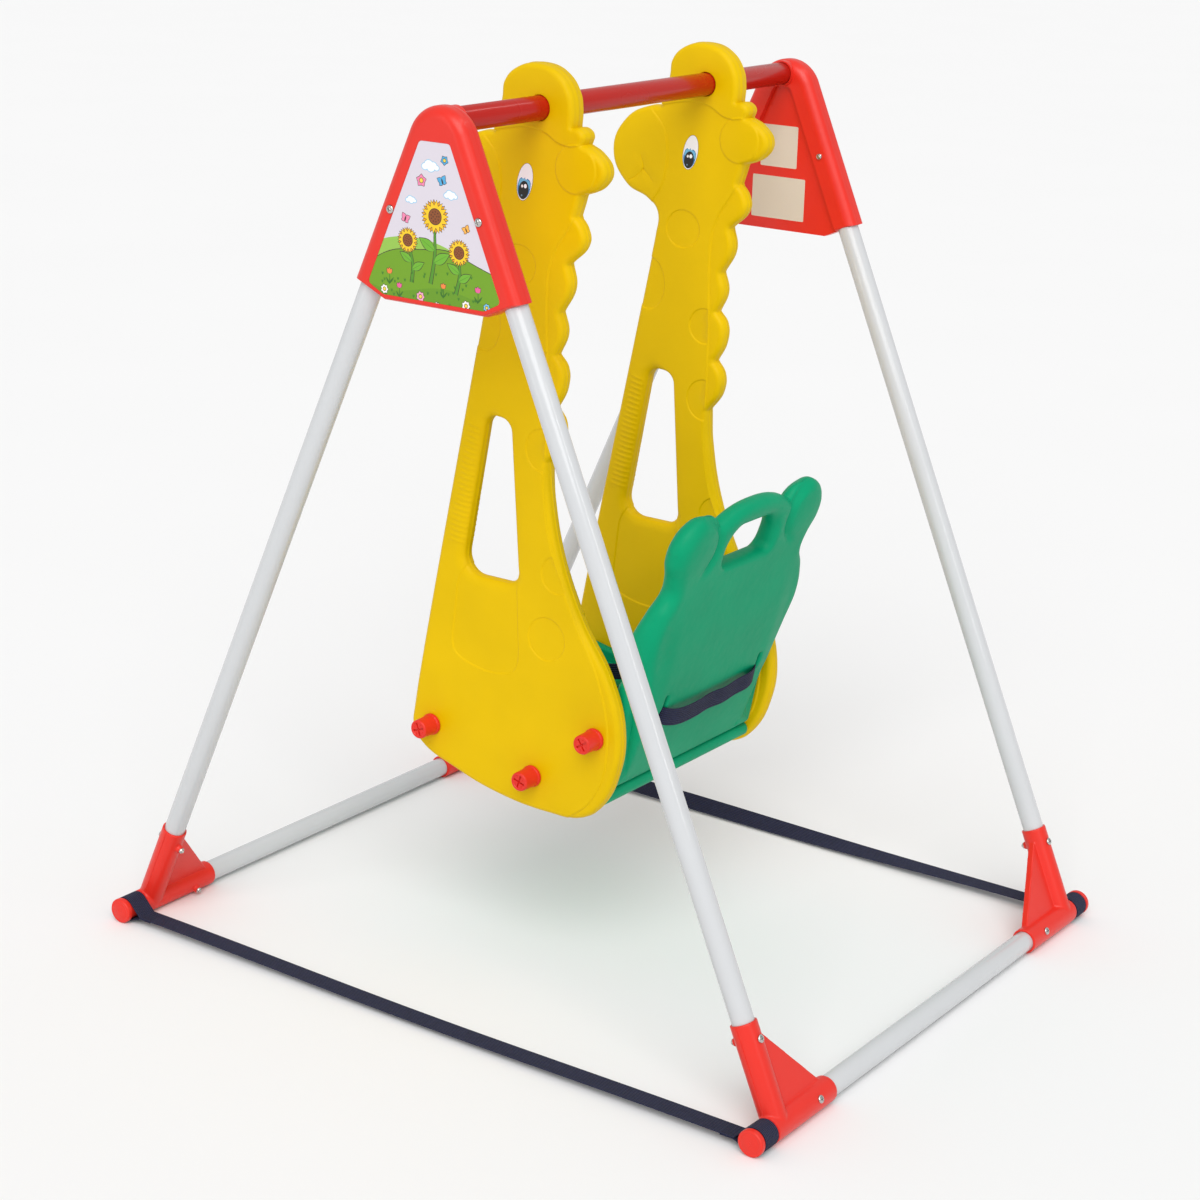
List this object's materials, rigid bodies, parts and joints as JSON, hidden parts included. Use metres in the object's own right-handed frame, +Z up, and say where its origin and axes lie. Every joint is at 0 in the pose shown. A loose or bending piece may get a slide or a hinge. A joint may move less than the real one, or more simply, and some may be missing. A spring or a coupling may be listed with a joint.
{
  "type": "baby swing set",
  "caption": "Free-standing baby swing: a moulded seat between giraffe-shaped side panels, hung from the top bar of a tubular A-frame stand.",
  "frame": {"origin": "on the floor under the middle of the stand, which is the bottom centre of the bounding box", "axes": "+X along the top bar to the seated child's left, -Y the way the child faces, +Z up"},
  "size_m": [0.9224, 1.1222, 1.2595],
  "materials": {
    "white_enamel": "steel tube, gloss white powder coat",
    "red_enamel": "steel tube, gloss red powder coat",
    "red_plastic": "moulded polypropylene, satin red",
    "yellow_plastic": "blow-moulded polyethylene, soft satin yellow",
    "green_plastic": "blow-moulded polyethylene, soft satin green",
    "navy_webbing": "woven polypropylene webbing, navy",
    "zinc_steel": "zinc-plated steel",
    "printed_card": null,
    "black_plastic": "moulded acetal, black"
  },
  "bodies": {
    "stand": {"base_tube_front": "white_enamel", "base_tube_rear": "white_enamel", "corner_bolt_base_front_left": "zinc_steel", "corner_bolt_base_front_right": "zinc_steel", "corner_bolt_base_rear_left": "zinc_steel", "corner_bolt_base_rear_right": "zinc_steel", "corner_bolt_leg_front_left": "zinc_steel", "corner_bolt_leg_front_right": "zinc_steel", "corner_bolt_leg_rear_left": "zinc_steel", "corner_bolt_leg_rear_right": "zinc_steel", "corner_joint_front_left": "red_plastic", "corner_joint_front_right": "red_plastic", "corner_joint_rear_left": "red_plastic", "corner_joint_rear_right": "red_plastic", "corner_nut_base_front_left": "zinc_steel", "corner_nut_base_front_right": "zinc_steel", "corner_nut_base_rear_left": "zinc_steel", "corner_nut_base_rear_right": "zinc_steel", "corner_nut_leg_front_left": "zinc_steel", "corner_nut_leg_front_right": "zinc_steel", "corner_nut_leg_rear_left": "zinc_steel", "corner_nut_leg_rear_right": "zinc_steel", "cover_inner_left": "red_plastic", "cover_inner_right": "red_plastic", "cover_nut_front_left": "zinc_steel", "cover_nut_front_right": "zinc_steel", "cover_nut_rear_left": "zinc_steel", "cover_nut_rear_right": "zinc_steel", "cover_outer_left": "red_plastic", "cover_outer_right": "red_plastic", "cover_screw_front_left": "zinc_steel", "cover_screw_front_right": "zinc_steel", "cover_screw_rear_left": "zinc_steel", "cover_screw_rear_right": "zinc_steel", "end_cap_front_left": "red_plastic", "end_cap_front_right": "red_plastic", "end_cap_rear_left": "red_plastic", "end_cap_rear_right": "red_plastic", "leg_front_left": "white_enamel", "leg_front_right": "white_enamel", "leg_rear_left": "white_enamel", "leg_rear_right": "white_enamel", "picture_panel_left": "printed_card", "picture_panel_right": "printed_card", "spread_strap_left": "navy_webbing", "spread_strap_right": "navy_webbing", "top_bar": "red_enamel"},
    "swing": {"backrest": "green_plastic", "buckle_plug": "black_plastic", "buckle_socket": "black_plastic", "giraffe_panel_left": "yellow_plastic", "giraffe_panel_right": "yellow_plastic", "knob_screw_front_left": "red_plastic", "knob_screw_front_right": "red_plastic", "knob_screw_middle_left": "red_plastic", "knob_screw_middle_right": "red_plastic", "knob_screw_rear_left": "red_plastic", "knob_screw_rear_right": "red_plastic", "lap_belt": "navy_webbing", "seat_pan": "green_plastic"}
  },
  "joints": [
    {"name": "swing_hinge", "type": "hinge", "parent": "stand", "child": "swing", "pos_m": [0, 0, 1.204], "axis": [1, 0, 0], "range_deg": [-45, 45]}
  ]
}
